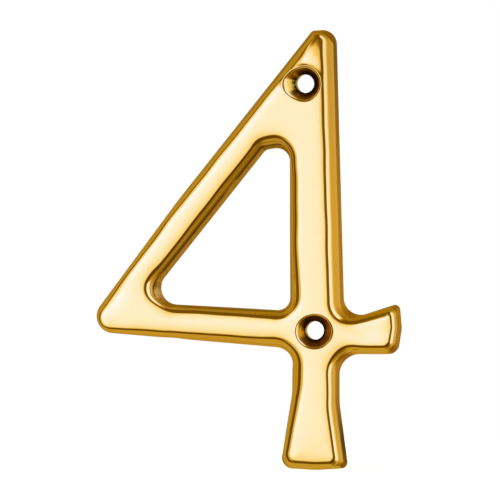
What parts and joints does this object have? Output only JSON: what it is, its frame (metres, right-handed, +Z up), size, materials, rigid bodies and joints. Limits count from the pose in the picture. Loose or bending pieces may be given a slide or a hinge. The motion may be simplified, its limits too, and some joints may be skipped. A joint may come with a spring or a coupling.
{
  "type": "door numeral",
  "caption": "Solid brass door numeral 4, an open triangle on a flared stem with a crossbar, flat at the back, with softly rounded bevelled edges and countersunk screw holes through its face.",
  "frame": {"origin": "on the axis of the lower screw hole, where stem and crossbar cross, in the plane of the flat back", "axes": "+Z up as the numeral hangs on a door, +X to the right as it is read, and -Y out of its face towards the reader"},
  "size_m": [0.053, 0.005, 0.076],
  "materials": {
    "polished_brass": "polished and lacquered"
  },
  "bodies": {
    "root": {"numeral_four": "polished_brass"}
  },
  "joints": []
}
